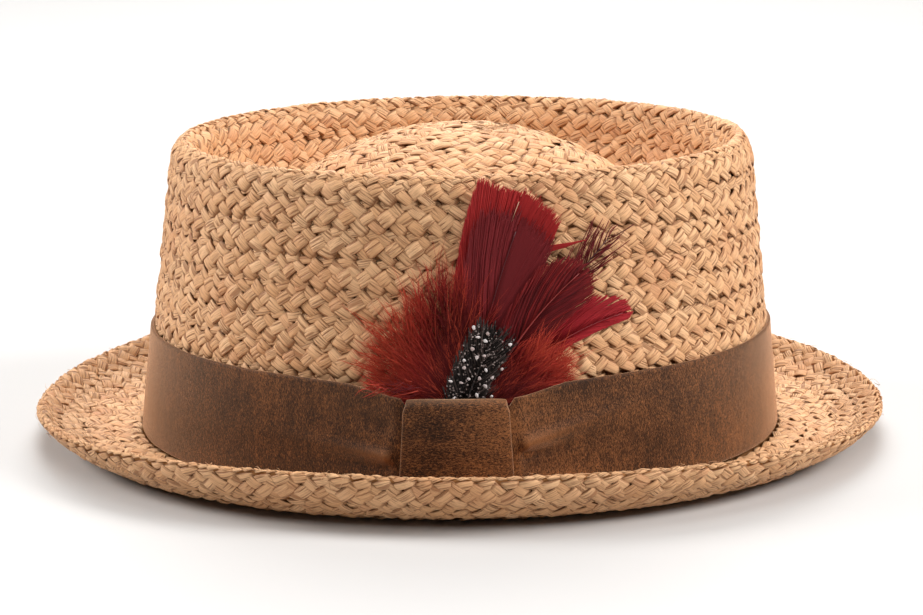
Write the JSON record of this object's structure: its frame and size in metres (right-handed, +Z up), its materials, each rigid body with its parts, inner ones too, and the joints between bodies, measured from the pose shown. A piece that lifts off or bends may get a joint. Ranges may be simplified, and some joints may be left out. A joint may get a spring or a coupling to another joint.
{
  "type": "raffia hat",
  "caption": "Braided raffia sun hat with a telescoped crown, a narrow upturned brim, a leather band with a keeper loop, and a fan of feathers on the left side.",
  "frame": {"origin": "on the surface that the hat stands on, under the middle of the brim", "axes": "+X to the hat's rear along its length, -Y to its left side with the feathers, +Z up"},
  "size_m": [0.276, 0.2216, 0.101],
  "materials": {
    "raffia": "sewn braid of natural raffia, dry with a faint sheen",
    "leather": "brown nubuck, mottled and slightly waxy",
    "crimson_feather": "dyed feather, soft sheen",
    "burgundy_feather": "dyed feather, dark, soft sheen",
    "spotted_feather": "black feather with white dots",
    "orange_down": "fluffy dyed marabou down"
  },
  "bodies": {
    "root": {"crown": "raffia", "brim": "raffia", "band": "leather", "keeper": "leather", "feather_tall": "crimson_feather", "feather_low_right": "crimson_feather", "feather_dark": "burgundy_feather", "feather_right": "burgundy_feather", "feather_wispy": "burgundy_feather", "feather_spotted": "spotted_feather", "plume_left": "orange_down", "plume_right": "orange_down"}
  },
  "joints": []
}
